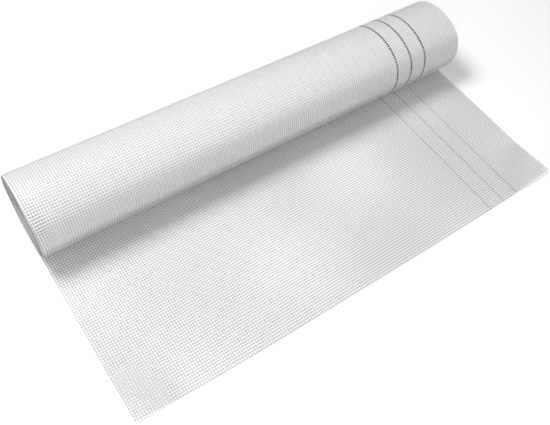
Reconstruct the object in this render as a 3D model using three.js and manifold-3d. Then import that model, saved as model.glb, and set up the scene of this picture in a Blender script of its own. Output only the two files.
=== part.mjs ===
// A roll of polyester scrim: open mesh cloth wound into a loose hollow roll, which has slumped to a low
// oval under its own weight, with its loose end laid out on the floor. All of it is one length of cloth.
// Millimetres. X runs along the roll, Z is up, the loose end points to -Y, and the origin is on the
// floor, straight below the axis of the roll at the middle of its length.

import * as THREE from "three";
import { mergeVertices } from "three/addons/utils/BufferGeometryUtils.js";
import Module from "manifold-3d";

const wasm = await Module();
wasm.setup();

// Driving dimensions
const clothWidth = 1000; // from selvedge to selvedge, which is the length of the roll
const layerThickness = 0.6; // one layer of the coated mesh, at the crossings of its threads
const rollWidth = 174.4;
const rollHeight = 143.6;
const slump = 3; // how much of the oval the floor flattens
const wallThickness = 12; // all the turns together
const looseReach = 417; // from below the axis of the roll to the middle of the cut end
const cornerDrop = 9; // how far the corners of the cut end lie back from its middle

// Where the loose roll has been pressed out of its oval: flatter on top and low on the front, with a
// soft ridge between them. Angles in degrees from the underside, amounts outwards. The flatness says
// how evenly an amount holds over its spread.
const pressed = [
  { angle: 185, spread: 22, outwards: -1.4, flatness: 2 },
  { angle: 232, spread: 9, outwards: 1.2, flatness: 2 },
  { angle: 272, spread: 28.6, outwards: -3.4, flatness: 4 },
];

// The edges of the turns on the ends of the roll, gathered into a few bundles
const bundleCount = 4;
const grooveWidth = 0.9;
const grooveDepth = 1.5;

// How finely the curves are cut
const ovalSteps = 96;
const cutSteps = 24;

const bundlePitch = wallThickness / bundleCount;
const fullTurn = 2 * Math.PI;
const halfWidth = rollWidth / 2;
const halfHeight = (rollHeight + slump) / 2;
const axisHeight = rollHeight - halfHeight;

function pressedOutwards(angle) {
  const degrees = THREE.MathUtils.euclideanModulo(THREE.MathUtils.radToDeg(angle), 360);
  return pressed.reduce((sum, place) => {
    const away = Math.abs(degrees - place.angle) / place.spread;
    return sum + place.outwards * Math.exp(-(away ** place.flatness) / 2);
  }, 0);
}

// The point of the oval at an angle from the underside, a depth below the outer face of the roll.
// Angles run up the back, over the top and down the front. Near the floor each turn lies flat.
function turnPoint(angle, depth) {
  const outwards = pressedOutwards(angle) - depth;
  const y = (halfWidth + outwards) * Math.sin(angle);
  const z = axisHeight - (halfHeight + outwards) * Math.cos(angle);
  return new THREE.Vector2(y, Math.max(z, depth));
}

// The angle at which a turn lifts off its flat underside.
function liftAngle(depth) {
  return Math.acos((axisHeight - depth) / (halfHeight - depth));
}

// One turn, from where it lifts at the back to where it comes down at the front.
function turn(startDepth, endDepth) {
  const first = liftAngle(startDepth);
  const last = fullTurn - liftAngle(endDepth);
  const points = [];
  for (let i = 0; i <= ovalSteps; i += 1) {
    const share = i / ovalSteps;
    const depth = THREE.MathUtils.lerp(startDepth, endDepth, share);
    points.push(turnPoint(THREE.MathUtils.lerp(first, last, share), depth));
  }
  return points;
}

function toSolid(geometry) {
  geometry.deleteAttribute("normal");
  geometry.deleteAttribute("uv");
  const merged = mergeVertices(geometry);
  const mesh = new wasm.Mesh({
    numProp: 3,
    vertProperties: new Float32Array(merged.attributes.position.array),
    triVerts: new Uint32Array(merged.index.array),
  });
  return new wasm.Manifold(mesh);
}

function toGeometry(solid) {
  const mesh = solid.getMesh();
  const geometry = new THREE.BufferGeometry();
  geometry.setAttribute("position", new THREE.BufferAttribute(mesh.vertProperties, 3));
  geometry.setIndex(new THREE.BufferAttribute(mesh.triVerts, 1));
  geometry.computeVertexNormals();
  return geometry;
}

// A section drawn in Y and Z, drawn out along X from one place to another.
function alongX(shape, fromX, toX) {
  const geometry = new THREE.ExtrudeGeometry(shape, { depth: toX - fromX, bevelEnabled: false });
  const yAxis = new THREE.Vector3(0, 1, 0);
  const zAxis = new THREE.Vector3(0, 0, 1);
  const xAxis = new THREE.Vector3(1, 0, 0);
  geometry.applyMatrix4(new THREE.Matrix4().makeBasis(yAxis, zAxis, xAxis));
  geometry.translate(fromX, 0, 0);
  return toSolid(geometry);
}

// The whole cloth in section: the loose end on the floor, then the turns round the bore. The outer turn
// comes down one layer above the loose end, which leaves the sharp crease in front of the roll.
function clothSection() {
  const section = new THREE.Shape([
    new THREE.Vector2(-looseReach, 0),
    ...turn(0, layerThickness),
    new THREE.Vector2(-looseReach, layerThickness),
  ]);
  section.holes.push(new THREE.Path(turn(wallThickness, wallThickness)));
  return section;
}

// The gap between the bundles of turns: a narrow spiral that is pointed at both ends.
function spiralGap() {
  const outerEdge = [];
  const innerEdge = [];
  const turns = bundleCount - 1;
  const steps = turns * ovalSteps;
  for (let i = 0; i <= steps; i += 1) {
    const share = i / steps;
    const angle = (turns * share + 0.5) * fullTurn;
    const depth = (bundlePitch * angle) / fullTurn;
    const halfGap = (grooveWidth / 2) * Math.min(1, Math.sin(Math.PI * share) * bundleCount);
    outerEdge.push(turnPoint(angle, depth - halfGap));
    innerEdge.push(turnPoint(angle, depth + halfGap));
  }
  const insideTips = innerEdge.slice(1, -1);
  return new THREE.Shape([...outerEdge, ...insideTips.reverse()]);
}

// What is trimmed off beyond the cut end, whose corners lie back a little.
function beyondCutEnd() {
  const margin = 10;
  const halfSpan = clothWidth / 2 + margin;
  const points = [];
  for (let i = 0; i <= cutSteps; i += 1) {
    const x = THREE.MathUtils.lerp(-halfSpan, halfSpan, i / cutSteps);
    const drop = cornerDrop * (x / (clothWidth / 2)) ** 4;
    points.push(new THREE.Vector2(x, drop - looseReach));
  }
  points.push(new THREE.Vector2(halfSpan, -looseReach - margin));
  points.push(new THREE.Vector2(-halfSpan, -looseReach - margin));
  const geometry = new THREE.ExtrudeGeometry(new THREE.Shape(points), {
    depth: layerThickness + 2 * margin,
    bevelEnabled: false,
  });
  geometry.translate(0, 0, -margin);
  return toSolid(geometry);
}

function scrimRoll() {
  const end = clothWidth / 2;
  const gap = spiralGap();
  const solid = alongX(clothSection(), -end, end)
    .subtract(beyondCutEnd())
    .subtract(alongX(gap, -end - 1, grooveDepth - end))
    .subtract(alongX(gap, end - grooveDepth, end + 1));
  const cloth = new THREE.MeshStandardMaterial({ color: 0xd8d9d6, roughness: 0.75, metalness: 0 });
  const mesh = new THREE.Mesh(toGeometry(solid), cloth);
  mesh.name = "scrim_roll";
  return mesh;
}

const roll = new THREE.Group();
roll.add(scrimRoll());

export default roll;
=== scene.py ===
import math

import bpy
import numpy as np
from mathutils import Matrix, Vector


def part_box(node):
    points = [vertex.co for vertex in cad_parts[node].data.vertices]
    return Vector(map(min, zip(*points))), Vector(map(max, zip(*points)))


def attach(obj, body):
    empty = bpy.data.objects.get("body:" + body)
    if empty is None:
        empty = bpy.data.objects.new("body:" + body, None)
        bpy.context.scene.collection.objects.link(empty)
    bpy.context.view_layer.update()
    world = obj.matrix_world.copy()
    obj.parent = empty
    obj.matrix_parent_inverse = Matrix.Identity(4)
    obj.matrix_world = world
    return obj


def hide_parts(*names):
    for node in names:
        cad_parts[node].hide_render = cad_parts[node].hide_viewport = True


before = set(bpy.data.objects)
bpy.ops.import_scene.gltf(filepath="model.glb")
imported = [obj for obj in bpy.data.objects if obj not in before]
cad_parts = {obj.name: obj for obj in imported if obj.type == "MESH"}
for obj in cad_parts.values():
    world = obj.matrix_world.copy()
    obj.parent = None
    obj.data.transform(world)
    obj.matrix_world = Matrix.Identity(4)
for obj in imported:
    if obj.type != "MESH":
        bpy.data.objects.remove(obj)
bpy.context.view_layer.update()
rollLow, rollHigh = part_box("scrim_roll")
print("frame loaded")


# camera, at the angle of the photograph

camera = {
    "place": (-0.585, -0.733, 1.089),
    "azimuth": -43.21,
    "elevation": 55.59,
    "roll": 10.18,
    "lens": 43.53,  # mm
    "sensor": 36,  # mm
    "nearest": 0.01,
}


def addCamera(settings):
    turn = math.radians(settings["azimuth"])
    rise = math.radians(settings["elevation"])
    back = Vector((math.sin(turn) * math.cos(rise), -math.cos(turn) * math.cos(rise), math.sin(rise)))
    right = Vector((0, 0, 1)).cross(back).normalized()
    axes = Matrix((right, back.cross(right), back)).transposed().to_4x4()
    bpy.ops.object.camera_add(location=settings["place"])
    view = bpy.context.object
    view.name = "photoCamera"
    lean = Matrix.Rotation(math.radians(settings["roll"]), 4, "Z")
    view.matrix_world = Matrix.Translation(settings["place"]) @ axes @ lean
    view.data.lens = settings["lens"]
    view.data.sensor_width = settings["sensor"]
    view.data.clip_start = settings["nearest"]
    bpy.context.scene.camera = view


addCamera(camera)
print("camera placed")


# how the cloth lies: one path, seen from its edge, that runs from the cut end along the floor to
# below the axis of the roll, and then up the back and round and round into the bore

cloth = {
    "width": rollHigh[0] - rollLow[0],
    "reach": -rollLow[1],  # from the cut end to below the axis
    "rollHalfWidth": rollHigh[1],
    "rollHeight": 0.1436,  # of the oval, before it is pressed
    "slump": 0.003,  # how much of the oval the floor flattens
    "wall": 0.012,
    "layer": 0.0006,
    "stepsPerTurn": 240,
    "floorSteps": 60,
    # where the oval is pressed in or out: angle from the underside and spread in degrees, metres
    # outwards, and how flat the middle is
    "pressed": ((185, 22, -0.0014, 2), (232, 9, 0.0012, 2), (272, 28.6, -0.0034, 4)),
}


def clothPath(settings):
    turnCount = settings["wall"] / settings["layer"]
    angle = np.linspace(0, turnCount * 2 * math.pi, int(turnCount * settings["stepsPerTurn"]) + 1)
    depth = settings["layer"] * (0.5 + angle / (2 * math.pi))
    halfHeight = (settings["rollHeight"] + settings["slump"]) / 2
    axisHeight = settings["rollHeight"] - halfHeight
    outwards = -depth
    for middle, spread, amount, flatness in settings["pressed"]:
        away = np.abs(np.degrees(angle) % 360 - middle) / spread
        outwards = outwards + amount * np.exp(-(away**flatness) / 2)
    y = (settings["rollHalfWidth"] + outwards) * np.sin(angle)
    z = np.maximum(axisHeight - (halfHeight + outwards) * np.cos(angle), depth)
    floorY = np.linspace(-settings["reach"], 0, settings["floorSteps"], endpoint=False)
    floorZ = np.full(settings["floorSteps"], depth[0])
    points = np.column_stack((np.append(floorY, y), np.append(floorZ, z)))
    along = np.append(0, np.cumsum(np.linalg.norm(np.diff(points, axis=0), axis=1)))
    tangent = np.gradient(points, along, axis=0)
    tangent /= np.linalg.norm(tangent, axis=1)[:, None]
    normal = np.column_stack((-tangent[:, 1], tangent[:, 0]))
    degrees = np.append(np.zeros(settings["floorSteps"]), np.degrees(angle))
    return {"turns": turnCount, "along": along, "points": points, "normal": normal, "degrees": degrees}


path = clothPath(cloth)
print(f"cloth path {path['along'][-1]:.2f} m")


def smoothStep(value):
    value = np.clip(value, 0, 1)
    return value * value * (3 - 2 * value)


def riseFrom(value, start):
    # 0 up to the start, and from there smoothly up to 1
    return smoothStep((value - start) / (1 - start))


def bell(value, middle, spread):
    away = (value - middle) / spread
    return np.exp(-away * away)


# the small unevenness of the loose end: corners that lie back and curl up, and low waves

looseForm = {
    "cornerDrop": 0.009,  # how far the corners of the cut end lie back
    "rightLift": 0.008,
    "rightStart": 0.72,  # share of the half width at which the right corner starts to curl
    "leftLift": 0.004,
    "leftStart": 0.78,
    "liftStart": 0.72,  # share of the way to the cut end at which both start to curl
    "waveHeight": 0.0016,
    "waves": ((21, 9, 0), (8.3, -17, 1.3)),  # radians a metre across and along, and a shift
    "waveStart": 0.25,  # share of the way from the roll over which the waves grow
}


def looseEndShape(x, along, settings):
    share = np.clip(1 - along / cloth["reach"], 0, 1)  # 0 below the roll and 1 at the cut end
    side = x / (cloth["width"] / 2)
    back = settings["cornerDrop"] * np.abs(side) ** 4 * share**2
    right = settings["rightLift"] * riseFrom(side, settings["rightStart"])
    left = settings["leftLift"] * riseFrom(-side, settings["leftStart"])
    curl = (right + left) * riseFrom(share, settings["liftStart"])
    wave = 0
    for across, lengthwise, shift in settings["waves"]:
        wave = wave + 1 + np.sin(x * across + along * lengthwise + shift)
    height = settings["waveHeight"] * wave / (2 * len(settings["waves"]))
    return back, curl + height * smoothStep(share / settings["waveStart"])


# the left end of the roll: the outer turns lie in from the rest, and the outermost stands off a little

leftEnd = {
    "turns": 2,
    "drawnIn": 0.005,  # at the low front
    "drawnLeast": 0.3,  # share of it elsewhere
    "drawnMiddle": 290,  # degrees from the underside
    "drawnSpread": 60,
    "drawnStart": 90,  # degrees over which the shift sets in
    "drawnOver": 0.06,  # how far in from the edge of the cloth the shift fades out
    "standOff": 0.0016,
    "standOffMiddle": 232,  # degrees from the underside
    "standOffSpread": 26,
    "standOffOver": 0.03,  # how far in from the edge it fades out
}


def leftEndShape(x, along, settings):
    degrees = np.interp(along, path["along"], path["degrees"])
    fromEdge = x + cloth["width"] / 2
    onTurns = (degrees > 0) * (degrees < settings["turns"] * 360)
    front = bell(degrees % 360, settings["drawnMiddle"], settings["drawnSpread"])
    share = settings["drawnLeast"] + (1 - settings["drawnLeast"]) * front
    share = share * onTurns * smoothStep(degrees / settings["drawnStart"])
    inwards = settings["drawnIn"] * share * smoothStep(1 - fromEdge / settings["drawnOver"])
    off = bell(degrees, settings["standOffMiddle"], settings["standOffSpread"])
    outwards = settings["standOff"] * off * smoothStep(1 - fromEdge / settings["standOffOver"])
    return inwards, outwards


# the threads of the open mesh

threads = {
    "warpPitch": 0.005,
    "firstWarp": 0.0015,  # in from the left edge
    "warpWidth": 0.0013,
    "warpHeight": 0.0006,
    "weftPitch": 0.0055,
    "firstWeft": 0.0028,  # in from the cut end
    "weftWidth": 0.0016,
    "weftHeight": 0.00035,
    "weftCuts": 39,  # places where a weft thread can bend
    "sides": 4,
    "smoothUpTo": 80,  # degrees between faces
    "markers": (163, 171, 179),  # which warp threads are dark
    "stray": 0.0002,  # how far a warp thread strays sideways
    "strayRate": 47,  # radians a metre
    "strayShift": 1.7,  # radians from one thread to the next
}


def readPlaces(items, kind):
    # one row of X, Y and Z for each item
    places = np.zeros(len(items) * 3)
    items.foreach_get(kind, places)
    return places.reshape(-1, 3)


def bendCloth(piece):
    # the flat piece holds x across the cloth, y along it from the cut end, and z through it
    x, along, through = readPlaces(piece.data.vertices, "co").T
    shift = np.round(x / threads["warpPitch"]) * threads["strayShift"]
    x = x + threads["stray"] * np.sin(along * threads["strayRate"] + shift)
    place = [np.interp(along, path["along"], path["points"][:, k]) for k in (0, 1)]
    normal = [np.interp(along, path["along"], path["normal"][:, k]) for k in (0, 1)]
    back, lift = looseEndShape(x, along, looseForm)
    inwards, outwards = leftEndShape(x, along, leftEnd)
    x = x + inwards
    through = through - outwards
    y = place[0] + through * normal[0] + back
    z = place[1] + through * normal[1] + lift
    piece.data.vertices.foreach_set("co", np.column_stack((x, y, z)).ravel())
    piece.data.update()


def deselect():
    bpy.ops.object.select_all(action="DESELECT")


def threadBar(name, length, width, height, lengthwise, cuts):
    # a bar of unit width and height, scaled to its section and then cut across where it can bend
    deselect()
    turn = (math.pi / 2, 0, 0) if lengthwise else (0, math.pi / 2, 0)
    bpy.ops.mesh.primitive_cylinder_add(vertices=threads["sides"], radius=0.5, depth=length, rotation=turn)
    bar = bpy.context.object
    bar.name = name
    bpy.ops.object.transform_apply(location=False, rotation=True, scale=False)
    bar.scale = (width, 1, height) if lengthwise else (1, width, height)
    bpy.ops.object.transform_apply(location=False, rotation=False, scale=True)
    bpy.ops.object.mode_set(mode="EDIT")
    bpy.ops.mesh.select_mode(type="EDGE")
    bpy.ops.mesh.select_all(action="DESELECT")
    bpy.ops.object.mode_set(mode="OBJECT")
    axis = 1 if lengthwise else 0
    for edge in bar.data.edges:
        ends = [bar.data.vertices[v].co[axis] for v in edge.vertices]
        edge.select = bool(abs(ends[0] - ends[1]) > length / 2)
    bpy.ops.object.mode_set(mode="EDIT")
    bpy.ops.mesh.subdivide(number_cuts=cuts)
    bpy.ops.object.mode_set(mode="OBJECT")
    bpy.ops.object.shade_smooth_by_angle(angle=math.radians(threads["smoothUpTo"]))
    return bar


def repeat(piece, count, step):
    rows = piece.modifiers.new("rows", "ARRAY")
    rows.use_relative_offset = False
    rows.use_constant_offset = True
    rows.constant_offset_displace = step
    rows.count = count
    bpy.context.view_layer.objects.active = piece
    bpy.ops.object.modifier_apply(modifier=rows.name)


def layWarps(name, start, end, bend, settings):
    length = end - start
    width, height = settings["warpWidth"], settings["warpHeight"]
    warps = threadBar(name, length, width, height, True, int(length / bend))
    warps.location = (settings["firstWarp"] - cloth["width"] / 2, start + length / 2, 0)
    bpy.ops.object.transform_apply(location=True, rotation=False, scale=False)
    count = int((cloth["width"] - settings["firstWarp"]) / settings["warpPitch"]) + 1
    repeat(warps, count, (settings["warpPitch"], 0, 0))
    return warps


def layWefts(name, start, end, settings):
    firstRow = math.ceil((start - settings["firstWeft"]) / settings["weftPitch"])
    lastRow = math.floor((end - settings["firstWeft"]) / settings["weftPitch"])
    width, height = settings["weftWidth"], settings["weftHeight"]
    wefts = threadBar(name, cloth["width"], width, height, False, settings["weftCuts"])
    wefts.location = (0, settings["firstWeft"] + firstRow * settings["weftPitch"], 0)
    bpy.ops.object.transform_apply(location=True, rotation=False, scale=False)
    repeat(wefts, lastRow - firstRow + 1, (0, settings["weftPitch"], 0))
    return wefts


def warpNumbers(places, settings):
    # which warp thread each place belongs to, counted from the left edge
    fromEdge = places[:, 0] + cloth["width"] / 2
    return np.round((fromEdge - settings["firstWarp"]) / settings["warpPitch"])


def setMarkers(warps, spread, settings):
    # the marker threads are dark, and wider where those of several turns show side by side
    numbers = warpNumbers(readPlaces(warps.data.polygons, "center"), settings)
    slots = np.where(np.isin(numbers, settings["markers"]), 2, 0).astype(np.int32)
    warps.data.polygons.foreach_set("material_index", slots)
    places = readPlaces(warps.data.vertices, "co")
    numbers = warpNumbers(places, settings)
    middle = settings["firstWarp"] + numbers * settings["warpPitch"] - cloth["width"] / 2
    wider = np.where(np.isin(numbers, settings["markers"]), spread, 1)
    places[:, 0] = middle + (places[:, 0] - middle) * wider
    warps.data.vertices.foreach_set("co", places.ravel())


def setClothMap(piece):
    # a map in metres across and along the flat cloth
    maps = piece.data.uv_layers
    layer = maps[0] if maps else maps.new(name="clothMap")
    layer.name = "clothMap"
    corners = np.zeros(len(piece.data.loops), np.int32)
    piece.data.loops.foreach_get("vertex_index", corners)
    flat = readPlaces(piece.data.vertices, "co")
    layer.data.foreach_set("uv", flat[corners, :2].ravel())


def openMesh(name, start, end, bend, materials, markerSpread):
    warps = layWarps(name, start, end, bend, threads)
    wefts = layWefts(name + "Weft", start, end, threads)
    for piece in (warps, wefts):
        piece.data.materials.clear()
        for material in materials:
            piece.data.materials.append(material)
    wefts.data.polygons.foreach_set("material_index", np.ones(len(wefts.data.polygons), np.int32))
    setMarkers(warps, markerSpread, threads)
    deselect()
    wefts.select_set(True)
    warps.select_set(True)
    bpy.context.view_layer.objects.active = warps
    bpy.ops.object.join()
    setClothMap(warps)
    bendCloth(warps)
    print(f"{name}: {len(warps.data.polygons)} faces")
    return warps


# materials

coating = {
    "sheen": 0.1,
    "sheenRoughness": 0.4,
    "specular": 0.4,
}


def newMaterial(name, colour, roughness, sheen=coating["sheen"]):
    material = bpy.data.materials.new(name)
    material.use_nodes = True
    shader = material.node_tree.nodes["Principled BSDF"]
    shader.inputs["Base Color"].default_value = (*colour, 1)
    shader.inputs["Roughness"].default_value = roughness
    shader.inputs["Sheen Weight"].default_value = sheen
    shader.inputs["Sheen Roughness"].default_value = coating["sheenRoughness"]
    shader.inputs["Specular IOR Level"].default_value = coating["specular"]
    return material, shader


def mathNode(tree, operation, first, second=None):
    node = tree.nodes.new("ShaderNodeMath")
    node.operation = operation
    for socket, value in zip(node.inputs, (first, second)):
        if isinstance(value, (int, float)):
            socket.default_value = value
        elif value is not None:
            tree.links.new(value, socket)
    return node.outputs[0]


def greatest(tree, values):
    result = values[0]
    for value in values[1:]:
        result = mathNode(tree, "MAXIMUM", result, value)
    return result


def noiseNode(tree, position, scale, detail):
    noise = tree.nodes.new("ShaderNodeTexNoise")
    noise.inputs["Scale"].default_value = scale
    noise.inputs["Detail"].default_value = detail
    tree.links.new(position, noise.inputs["Vector"])
    return noise.outputs["Fac"]


def splitAxes(tree, position):
    split = tree.nodes.new("ShaderNodeSeparateXYZ")
    tree.links.new(position, split.inputs[0])
    return split.outputs


def mixColours(tree, share, first, second):
    node = tree.nodes.new("ShaderNodeMix")
    node.data_type = "RGBA"
    tree.links.new(share, node.inputs["Factor"])
    colourInputs = [socket for socket in node.inputs if socket.type == "RGBA"]
    for socket, value in zip(colourInputs, (first, second)):
        if isinstance(value, tuple):
            socket.default_value = (*value, 1)
        else:
            tree.links.new(value, socket)
    return [socket for socket in node.outputs if socket.type == "RGBA"][0]


def addBump(tree, shader, height, distance, strength):
    bump = tree.nodes.new("ShaderNodeBump")
    bump.inputs["Distance"].default_value = distance
    bump.inputs["Strength"].default_value = strength
    tree.links.new(height, bump.inputs["Height"])
    tree.links.new(bump.outputs["Normal"], shader.inputs["Normal"])


def clothCoordinates(tree):
    node = tree.nodes.new("ShaderNodeUVMap")
    node.uv_map = "clothMap"
    return node.outputs["UV"]


def newGroup(name, inputs, outputs):
    # a group of nodes that takes a position on the cloth and some numbers
    tree = bpy.data.node_groups.new(name, "ShaderNodeTree")
    tree.interface.new_socket(name="Position", in_out="INPUT", socket_type="NodeSocketVector")
    for label in inputs:
        tree.interface.new_socket(name=label, in_out="INPUT", socket_type="NodeSocketFloat")
    for label in outputs:
        tree.interface.new_socket(name=label, in_out="OUTPUT", socket_type="NodeSocketFloat")
    source = tree.nodes.new("NodeGroupInput")
    result = tree.nodes.new("NodeGroupOutput")
    return tree, source.outputs, result.inputs


def groupNode(tree, group, position, values):
    node = tree.nodes.new("ShaderNodeGroup")
    node.node_tree = group
    tree.links.new(position, node.inputs["Position"])
    for label, value in values.items():
        node.inputs[label].default_value = value
    return node.outputs


# the yarns: filaments that show as slanted ridges, with faint unevenness of the coating

yarns = {
    "white": {"light": (0.89, 0.89, 0.89), "dark": (0.76, 0.76, 0.76), "roughness": 0.38},
    # painted shade: the next yarn is the white yarn darkened, for the shade on the loose end, under the
    # outer turn and in the bore
    "shadedWhite": {"light": (0.54, 0.54, 0.54), "dark": (0.42, 0.42, 0.42), "roughness": 0.42},
    "marker": {"light": (0.09, 0.09, 0.09), "dark": (0.05, 0.05, 0.05), "roughness": 0.6},
}

twist = {
    "across": 3000,  # radians a metre across a yarn, and along it
    "along": 2400,
    "stainScale": 60,
    "stainDetail": 3,
    "bumpDepth": 0.0001,
    "bumpStrength": 0.5,
}


def twistGroup(settings):
    tree, source, result = newGroup("yarnTwist", ("Across", "Along"), ("Ridge", "Stain"))
    axes = splitAxes(tree, source["Position"])
    across = mathNode(tree, "MULTIPLY", axes["X"], source["Across"])
    along = mathNode(tree, "MULTIPLY", axes["Y"], source["Along"])
    wave = mathNode(tree, "SINE", mathNode(tree, "ADD", across, along))
    ridge = mathNode(tree, "ADD", mathNode(tree, "MULTIPLY", wave, 0.5), 0.5)
    tree.links.new(ridge, result["Ridge"])
    stain = noiseNode(tree, source["Position"], settings["stainScale"], settings["stainDetail"])
    tree.links.new(stain, result["Stain"])
    return tree


def yarnMaterial(name, settings, lengthwise):
    material, shader = newMaterial(name, settings["light"], settings["roughness"])
    tree = material.node_tree
    if lengthwise:
        rates = {"Across": twist["across"], "Along": twist["along"]}
    else:
        rates = {"Across": twist["along"], "Along": twist["across"]}
    drawn = groupNode(tree, yarnTwist, clothCoordinates(tree), rates)
    shade = mathNode(tree, "MULTIPLY", drawn["Ridge"], drawn["Stain"])
    colour = mixColours(tree, shade, settings["light"], settings["dark"])
    tree.links.new(colour, shader.inputs["Base Color"])
    addBump(tree, shader, drawn["Ridge"], twist["bumpDepth"], twist["bumpStrength"])
    return material


# the wound turns under the outer ones: layers of threads, drawn flat, each shifted from the last, with
# painted shade in the holes and on the dimmed threads

stack = {
    "thread": (0.74, 0.74, 0.74),
    "gap": (0.14, 0.14, 0.14),
    "marker": (0.1, 0.1, 0.1),
    "markerHalfWidth": 0.0024,
    "shifts": ((0.31, 0.62), (0.74, 0.17)),  # shares of a pitch
    "halfThread": 0.1,
    "softness": 0.03,
    "roughness": 0.6,
    "bumpDepth": 0.0003,
    "bumpStrength": 0.6,
}


def gridGroup(settings):
    # one layer: 1 on its threads and 0 in its holes
    inputs = ("Warp Pitch", "Weft Pitch", "Shift Across", "Shift Along", "Thread Share")
    tree, source, result = newGroup("meshLayer", inputs, ("Threads",))
    axes = splitAxes(tree, source["Position"])
    lines = []
    for axis, pitch, shift in (("X", "Warp Pitch", "Shift Across"), ("Y", "Weft Pitch", "Shift Along")):
        place = mathNode(tree, "DIVIDE", axes[axis], source[pitch])
        cell = mathNode(tree, "FRACT", mathNode(tree, "ADD", place, source[shift]))
        off = mathNode(tree, "ABSOLUTE", mathNode(tree, "SUBTRACT", cell, 0.5))
        near = mathNode(tree, "SUBTRACT", source["Thread Share"], off)
        soft = tree.nodes.new("ShaderNodeMapRange")
        soft.interpolation_type = "SMOOTHSTEP"
        soft.inputs["From Min"].default_value = -settings["softness"]
        soft.inputs["From Max"].default_value = settings["softness"]
        tree.links.new(near, soft.inputs["Value"])
        lines.append(soft.outputs["Result"])
    tree.links.new(greatest(tree, lines), result["Threads"])
    return tree


def stackMaterial(settings):
    material, shader = newMaterial("stackedMesh", settings["thread"], settings["roughness"])
    tree = material.node_tree
    position = clothCoordinates(tree)
    layers = []
    for across, along in settings["shifts"]:
        values = {
            "Warp Pitch": threads["warpPitch"],
            "Weft Pitch": threads["weftPitch"],
            "Shift Across": across,
            "Shift Along": along,
            "Thread Share": settings["halfThread"],
        }
        layers.append(groupNode(tree, meshLayer, position, values)["Threads"])
    total = greatest(tree, layers)
    # painted shade: the holes take a near black for the shade deep in the wound turns, and the threads a
    # dimmed white for the shade under the outer turns
    colour = mixColours(tree, total, settings["gap"], settings["thread"])
    x = splitAxes(tree, position)["X"]
    lines = []
    for number in threads["markers"]:
        place = threads["firstWarp"] + number * threads["warpPitch"] - cloth["width"] / 2
        off = mathNode(tree, "ABSOLUTE", mathNode(tree, "SUBTRACT", x, place))
        lines.append(mathNode(tree, "LESS_THAN", off, settings["markerHalfWidth"]))
    colour = mixColours(tree, greatest(tree, lines), colour, settings["marker"])
    tree.links.new(colour, shader.inputs["Base Color"])
    addBump(tree, shader, total, settings["bumpDepth"], settings["bumpStrength"])
    return material


# the edges of the wound turns on the ends of the roll, seen edge on, in a dark grey that is painted shade of
# the ends and the bore, with random grain

endShade = {
    "light": (0.25, 0.25, 0.25),
    "dark": (0.08, 0.08, 0.08),
    "roughness": 0.8,
    "grain": 900,  # of the unevenness, per metre
    "grainDetail": 2,
}


def shadedEndsMaterial(settings):
    material, shader = newMaterial("shadedTurnEdges", settings["light"], settings["roughness"], sheen=0)
    tree = material.node_tree
    place = tree.nodes.new("ShaderNodeTexCoord").outputs["Object"]
    grain = noiseNode(tree, place, settings["grain"], settings["grainDetail"])
    colour = mixColours(tree, grain, settings["light"], settings["dark"])
    tree.links.new(colour, shader.inputs["Base Color"])
    return material


yarnTwist = twistGroup(twist)
meshLayer = gridGroup(stack)
warpYarn = yarnMaterial("warpYarn", yarns["white"], True)
weftYarn = yarnMaterial("weftYarn", yarns["white"], False)
shadedWarp = yarnMaterial("shadedWarp", yarns["shadedWhite"], True)
shadedWeft = yarnMaterial("shadedWeft", yarns["shadedWhite"], False)
markerYarn = yarnMaterial("markerYarn", yarns["marker"], True)
stackedMesh = stackMaterial(stack)
shadedTurnEdges = shadedEndsMaterial(endShade)
print("materials made")


# pieces: the loose end, the turns that show their threads, and the wound turns between them

turns = {
    "meshTurns": 2,  # how many outer turns show their threads
    "looseBend": 0.02,  # length of a straight stretch of thread
    "roundBend": 0.0105,
    "markerSpread": 2.5,
    "woundThickness": 0.00035,
    "woundStep": 0.0075,
    "woundSmoothUpTo": 40,  # degrees between faces
    "endGap": 0.0004,  # how far the wound turns end short of the threads
    "endUnevenness": 0.0009,
    "endStep": 0.06,  # length of cloth from one draw of the unevenness to the next
    "endDraws": 400,
    "endSeed": 7,
}


def turnStart(turnNumber):
    # how far along the cloth a turn begins, below the axis
    index = cloth["floorSteps"] + int(turnNumber * cloth["stepsPerTurn"])
    return path["along"][min(index, len(path["along"]) - 1)]


def roundTurn(name, turnNumber, materials):
    start = turnStart(turnNumber)
    end = turnStart(turnNumber + 1)
    return openMesh(name, start, end, turns["roundBend"], materials, turns["markerSpread"])


def unevenEnds(wound, settings):
    draws = np.random.default_rng(settings["endSeed"])
    ragged = draws.normal(0, settings["endUnevenness"], settings["endDraws"])
    places = readPlaces(wound.data.vertices, "co")
    steps = places[:, 1] / settings["endStep"]
    uneven = np.abs(np.interp(steps, np.arange(settings["endDraws"]), ragged))
    side = places[:, 0] / (cloth["width"] / 2)
    places[:, 0] -= side * (settings["endGap"] + uneven)
    wound.data.vertices.foreach_set("co", places.ravel())


def woundTurns(start, end, settings):
    deselect()
    steps = int((end - start) / settings["woundStep"])
    bpy.ops.mesh.primitive_grid_add(x_subdivisions=2, y_subdivisions=steps, size=1, location=(0, 0, 0))
    wound = bpy.context.object
    wound.name = "wound_turns"
    wound.scale = (cloth["width"], end - start, 1)
    wound.location = (0, (start + end) / 2, 0)
    bpy.ops.object.transform_apply(location=True, rotation=False, scale=True)
    setClothMap(wound)
    unevenEnds(wound, settings)
    bendCloth(wound)
    wound.data.materials.append(stackedMesh)
    wound.data.materials.append(shadedTurnEdges)
    wall = wound.modifiers.new("thickness", "SOLIDIFY")
    wall.thickness = settings["woundThickness"]
    wall.offset = 0
    # the rims of the wall, on the ends of the roll, take the painted shade
    wall.material_offset_rim = 1
    bpy.context.view_layer.objects.active = wound
    bpy.ops.object.modifier_apply(modifier=wall.name)
    bpy.ops.object.shade_smooth_by_angle(angle=math.radians(settings["woundSmoothUpTo"]))
    print(f"wound_turns: {len(wound.data.polygons)} faces")
    return wound


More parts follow.
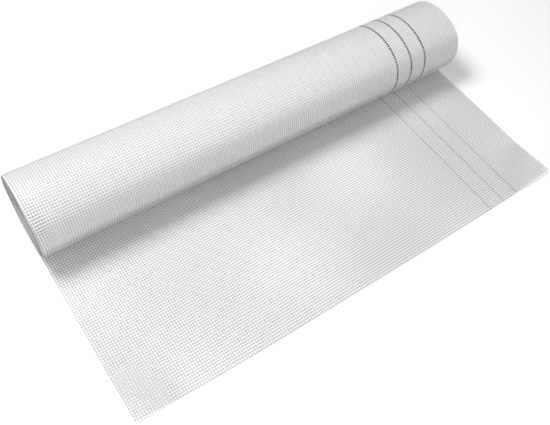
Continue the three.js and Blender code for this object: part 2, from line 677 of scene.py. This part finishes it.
whiteYarns = (warpYarn, weftYarn, markerYarn)
# painted shade: the darker copies of the white yarns stand for the shade on the loose end, the second turn
# and the bore turn
shadedYarns = (shadedWarp, shadedWeft, markerYarn)
lastTurn = path["turns"] - 1
looseEnd = openMesh("loose_end", 0, turnStart(0), turns["looseBend"], shadedYarns, 1)
outerTurn = roundTurn("outer_turn", 0, whiteYarns)
secondTurn = roundTurn("second_turn", 1, shadedYarns)
boreTurn = roundTurn("bore_turn", lastTurn, shadedYarns)
wound = woundTurns(turnStart(turns["meshTurns"]), turnStart(lastTurn), turns)

for piece in (looseEnd, outerTurn, secondTurn, boreTurn, wound):
    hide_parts("scrim_roll")
    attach(piece, "root")


# floor and studio light

studio = {
    "floorSize": 14,
    "floorLevel": -0.0003,  # just below the cloth
    "floorColour": (0.97, 0.97, 0.97),
    "floorRoughness": 0.9,
    "floorSpecular": 0.1,
    "sky": 0.46,
    "aim": (0, 0, 0.05),
    "lamps": (
        {"name": "keyLight", "place": (-0.6, 0.7, 1.9), "size": 0.85, "power": 33.5},
        {"name": "sideLight", "place": (-1.9, -2.4, 1.34), "size": 2.1, "power": 29.5},
        {"name": "frontLight", "place": (-0.1, -1.6, 1.7), "size": 1.5, "power": 6},
    ),
}


def addFloor(settings):
    deselect()
    bpy.ops.mesh.primitive_plane_add(size=settings["floorSize"], location=(0, 0, settings["floorLevel"]))
    floor = bpy.context.object
    floor.name = "floor"
    material, shader = newMaterial("paleFloor", settings["floorColour"], settings["floorRoughness"], sheen=0)
    shader.inputs["Specular IOR Level"].default_value = settings["floorSpecular"]
    floor.data.materials.append(material)


def addLight(settings):
    world = bpy.data.worlds.new("studioSky")
    bpy.context.scene.world = world
    world.use_nodes = True
    background = world.node_tree.nodes["Background"]
    background.inputs["Color"].default_value = (1, 1, 1, 1)
    background.inputs["Strength"].default_value = settings["sky"]
    for lamp in settings["lamps"]:
        bpy.ops.object.light_add(type="AREA", location=lamp["place"])
        light = bpy.context.object
        light.name = lamp["name"]
        light.data.shape = "DISK"
        light.data.size = lamp["size"]
        light.data.energy = lamp["power"]
        aim = Vector(settings["aim"]) - Vector(lamp["place"])
        light.rotation_euler = aim.to_track_quat("-Z", "Y").to_euler()


addFloor(studio)
addLight(studio)
bpy.context.scene.view_settings.view_transform = "Standard"
print("studio lit")
